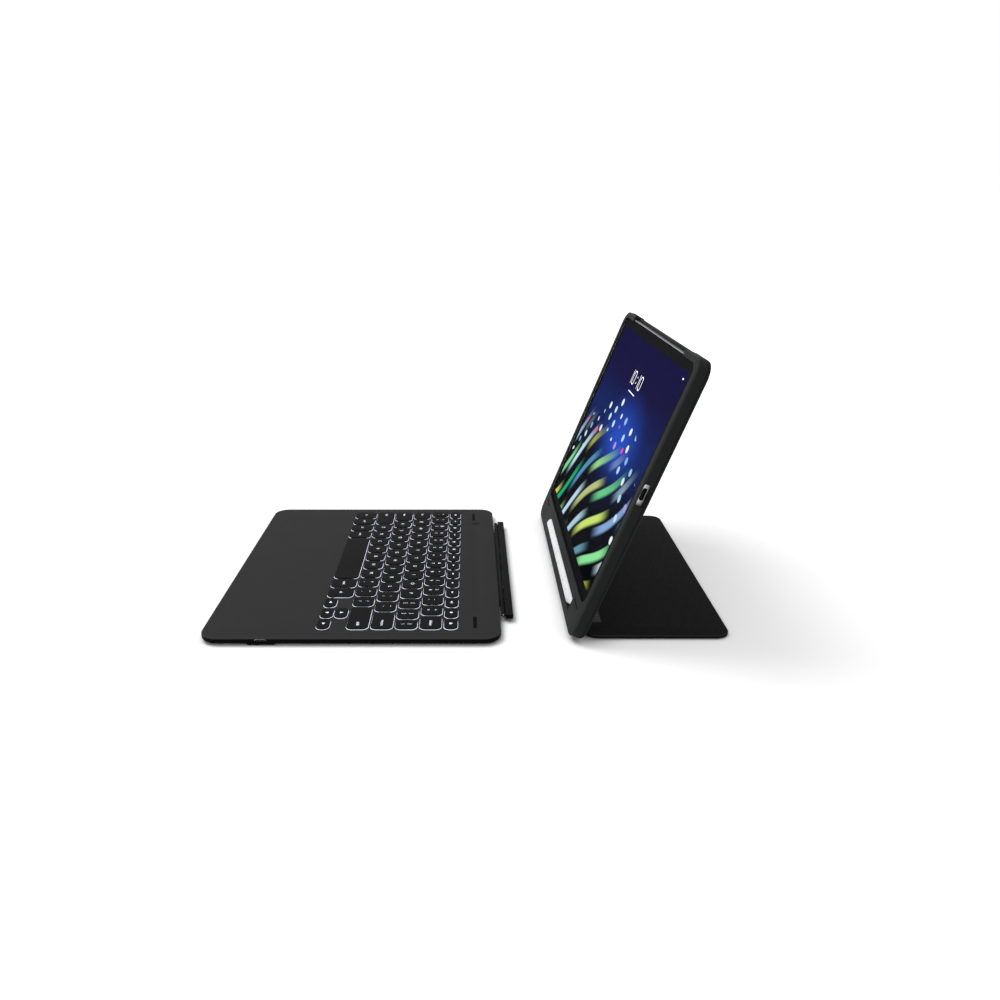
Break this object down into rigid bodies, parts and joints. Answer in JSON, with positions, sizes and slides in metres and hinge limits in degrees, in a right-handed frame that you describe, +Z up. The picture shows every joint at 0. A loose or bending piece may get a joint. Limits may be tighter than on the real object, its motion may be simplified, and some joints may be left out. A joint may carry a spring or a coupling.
{
  "type": "tablet keyboard case",
  "caption": "Bumper case that leans a tablet on a hinged stand plate, with a slim backlit keyboard on a folding magnetic hinge bar and a stylus trough.",
  "frame": {"origin": "middle of the whole object's footprint, on the table top", "axes": "+X to the user's right along the keyboard, +Y away from the user from the keyboard to the stand plate, +Z up"},
  "size_m": [0.2585, 0.364, 0.1939],
  "materials": {
    "base_plastic": "fine matt texture",
    "deck_plastic": "soft-touch matt",
    "key_plastic": "satin",
    "light_guide": "clear, lit from its edge",
    "dome_rubber": "matt",
    "circuit_board": "gloss varnish",
    "battery_foil": "satin foil",
    "port_metal": "satin",
    "foot_rubber": "matt",
    "bumper_rubber": "matt",
    "screw_steel": "satin",
    "hinge_plastic": "satin",
    "bar_plastic": "satin",
    "pin_steel": "polished",
    "magnet": "nickel plate",
    "frame_rubber": "soft matt",
    "shell_plastic": "fine matt texture",
    "lining_fabric": "brushed microfibre",
    "leaf_steel": "satin",
    "tablet_aluminium": "bead-blasted",
    "display": "lit picture with a black border",
    "cover_glass": "polished",
    "camera_glass": "polished",
    "cover_rubber": "soft matt",
    "stylus_white": "satin white",
    "stylus_tip": "matt white",
    "plate_skin": "fine-grained polyurethane"
  },
  "bodies": {
    "stand": {"stand_plate": "plate_skin", "plate_pads": "foot_rubber", "plate_hinge_leaves": "leaf_steel", "plate_hinge_screws": "screw_steel"},
    "case": {"case_frame": "frame_rubber", "case_back_shell": "shell_plastic", "case_lining": "lining_fabric", "case_magnets": "magnet", "case_hinge_leaves": "leaf_steel", "case_hinge_screws": "screw_steel", "stand_hinge_pins": "pin_steel", "tablet_body": "tablet_aluminium", "tablet_display": "display", "tablet_glass": "cover_glass", "tablet_port": "port_metal", "tablet_camera": "camera_glass"},
    "volume_up": {"volume_up_cover": "cover_rubber"},
    "volume_down": {"volume_down_cover": "cover_rubber"},
    "power": {"power_cover": "cover_rubber"},
    "stylus": {"stylus_barrel": "stylus_white", "stylus_tip": "stylus_tip"},
    "dock_bar": {"hinge_bar": "bar_plastic", "fold_hinge_pins": "pin_steel", "bar_magnets": "magnet"},
    "keyboard": {"keyboard_base": "base_plastic", "keyboard_deck": "deck_plastic", "light_guide": "light_guide", "dome_sheet": "dome_rubber", "circuit_board": "circuit_board", "keyboard_battery": "battery_foil", "charging_port": "port_metal", "keyboard_feet": "foot_rubber", "deck_bumpers": "bumper_rubber", "base_screws": "screw_steel", "fold_knuckle": "hinge_plastic"},
    "function_keys_press": {"function_keys": "key_plastic"},
    "number_keys_press": {"number_keys": "key_plastic"},
    "delete_key_press": {"delete_key": "key_plastic"},
    "tab_key_press": {"tab_key": "key_plastic"},
    "upper_letter_keys_press": {"upper_letter_keys": "key_plastic"},
    "backslash_key_press": {"backslash_key": "key_plastic"},
    "caps_key_press": {"caps_key": "key_plastic"},
    "home_letter_keys_press": {"home_letter_keys": "key_plastic"},
    "return_key_press": {"return_key": "key_plastic"},
    "left_shift_key_press": {"left_shift_key": "key_plastic"},
    "lower_letter_keys_press": {"lower_letter_keys": "key_plastic"},
    "right_shift_key_press": {"right_shift_key": "key_plastic"},
    "layer_key_press": {"layer_key": "key_plastic"},
    "control_key_press": {"control_key": "key_plastic"},
    "left_option_key_press": {"left_option_key": "key_plastic"},
    "left_command_key_press": {"left_command_key": "key_plastic"},
    "space_bar_press": {"space_bar": "key_plastic"},
    "right_command_key_press": {"right_command_key": "key_plastic"},
    "right_option_key_press": {"right_option_key": "key_plastic"},
    "left_arrow_key_press": {"left_arrow_key": "key_plastic"},
    "up_arrow_key_press": {"up_arrow_key": "key_plastic"},
    "down_arrow_key_press": {"down_arrow_key": "key_plastic"},
    "right_arrow_key_press": {"right_arrow_key": "key_plastic"}
  },
  "joints": [
    {"name": "stand_hinge", "type": "hinge", "parent": "stand", "child": "case", "pos_m": [0, 0.07952, 0.00315], "axis": [-1, 0, 0], "range_deg": [0, 69]},
    {"name": "dock_slide", "type": "slide", "parent": "stand", "child": "dock_bar", "axis": [0, 1, 0], "range_m": [0, 0.0357]},
    {"name": "keyboard_fold", "type": "hinge", "parent": "dock_bar", "child": "keyboard", "pos_m": [0, 0.02628, 0.0046], "axis": [-1, 0, 0], "range_deg": [0, 111]},
    {"name": "volume_up_press", "type": "slide", "parent": "case", "child": "volume_up", "axis": [0, -0.3584, -0.9336], "range_m": [0, 0.0004], "stiffness_N_per_m": 1500},
    {"name": "volume_down_press", "type": "slide", "parent": "case", "child": "volume_down", "axis": [0, -0.3584, -0.9336], "range_m": [0, 0.0004], "stiffness_N_per_m": 1500},
    {"name": "power_press", "type": "slide", "parent": "case", "child": "power", "axis": [1, 0, 0], "range_m": [0, 0.0004], "stiffness_N_per_m": 1500},
    {"name": "stylus_lift", "type": "slide", "parent": "case", "child": "stylus", "axis": [0, -0.9336, 0.3584], "range_m": [0, 0.014]},
    {"name": "function_keys_travel", "type": "slide", "parent": "keyboard", "child": "function_keys_press", "axis": [0, 0, -1], "range_m": [0, 0.0012], "stiffness_N_per_m": 300},
    {"name": "number_keys_travel", "type": "slide", "parent": "keyboard", "child": "number_keys_press", "axis": [0, 0, -1], "range_m": [0, 0.0012], "stiffness_N_per_m": 300},
    {"name": "delete_key_travel", "type": "slide", "parent": "keyboard", "child": "delete_key_press", "axis": [0, 0, -1], "range_m": [0, 0.0012], "stiffness_N_per_m": 300},
    {"name": "tab_key_travel", "type": "slide", "parent": "keyboard", "child": "tab_key_press", "axis": [0, 0, -1], "range_m": [0, 0.0012], "stiffness_N_per_m": 300},
    {"name": "upper_letter_keys_travel", "type": "slide", "parent": "keyboard", "child": "upper_letter_keys_press", "axis": [0, 0, -1], "range_m": [0, 0.0012], "stiffness_N_per_m": 300},
    {"name": "backslash_key_travel", "type": "slide", "parent": "keyboard", "child": "backslash_key_press", "axis": [0, 0, -1], "range_m": [0, 0.0012], "stiffness_N_per_m": 300},
    {"name": "caps_key_travel", "type": "slide", "parent": "keyboard", "child": "caps_key_press", "axis": [0, 0, -1], "range_m": [0, 0.0012], "stiffness_N_per_m": 300},
    {"name": "home_letter_keys_travel", "type": "slide", "parent": "keyboard", "child": "home_letter_keys_press", "axis": [0, 0, -1], "range_m": [0, 0.0012], "stiffness_N_per_m": 300},
    {"name": "return_key_travel", "type": "slide", "parent": "keyboard", "child": "return_key_press", "axis": [0, 0, -1], "range_m": [0, 0.0012], "stiffness_N_per_m": 300},
    {"name": "left_shift_key_travel", "type": "slide", "parent": "keyboard", "child": "left_shift_key_press", "axis": [0, 0, -1], "range_m": [0, 0.0012], "stiffness_N_per_m": 300},
    {"name": "lower_letter_keys_travel", "type": "slide", "parent": "keyboard", "child": "lower_letter_keys_press", "axis": [0, 0, -1], "range_m": [0, 0.0012], "stiffness_N_per_m": 300},
    {"name": "right_shift_key_travel", "type": "slide", "parent": "keyboard", "child": "right_shift_key_press", "axis": [0, 0, -1], "range_m": [0, 0.0012], "stiffness_N_per_m": 300},
    {"name": "layer_key_travel", "type": "slide", "parent": "keyboard", "child": "layer_key_press", "axis": [0, 0, -1], "range_m": [0, 0.0012], "stiffness_N_per_m": 300},
    {"name": "control_key_travel", "type": "slide", "parent": "keyboard", "child": "control_key_press", "axis": [0, 0, -1], "range_m": [0, 0.0012], "stiffness_N_per_m": 300},
    {"name": "left_option_key_travel", "type": "slide", "parent": "keyboard", "child": "left_option_key_press", "axis": [0, 0, -1], "range_m": [0, 0.0012], "stiffness_N_per_m": 300},
    {"name": "left_command_key_travel", "type": "slide", "parent": "keyboard", "child": "left_command_key_press", "axis": [0, 0, -1], "range_m": [0, 0.0012], "stiffness_N_per_m": 300},
    {"name": "space_bar_travel", "type": "slide", "parent": "keyboard", "child": "space_bar_press", "axis": [0, 0, -1], "range_m": [0, 0.0012], "stiffness_N_per_m": 300},
    {"name": "right_command_key_travel", "type": "slide", "parent": "keyboard", "child": "right_command_key_press", "axis": [0, 0, -1], "range_m": [0, 0.0012], "stiffness_N_per_m": 300},
    {"name": "right_option_key_travel", "type": "slide", "parent": "keyboard", "child": "right_option_key_press", "axis": [0, 0, -1], "range_m": [0, 0.0012], "stiffness_N_per_m": 300},
    {"name": "left_arrow_key_travel", "type": "slide", "parent": "keyboard", "child": "left_arrow_key_press", "axis": [0, 0, -1], "range_m": [0, 0.0012], "stiffness_N_per_m": 300},
    {"name": "up_arrow_key_travel", "type": "slide", "parent": "keyboard", "child": "up_arrow_key_press", "axis": [0, 0, -1], "range_m": [0, 0.0012], "stiffness_N_per_m": 300},
    {"name": "down_arrow_key_travel", "type": "slide", "parent": "keyboard", "child": "down_arrow_key_press", "axis": [0, 0, -1], "range_m": [0, 0.0012], "stiffness_N_per_m": 300},
    {"name": "right_arrow_key_travel", "type": "slide", "parent": "keyboard", "child": "right_arrow_key_press", "axis": [0, 0, -1], "range_m": [0, 0.0012], "stiffness_N_per_m": 300}
  ]
}
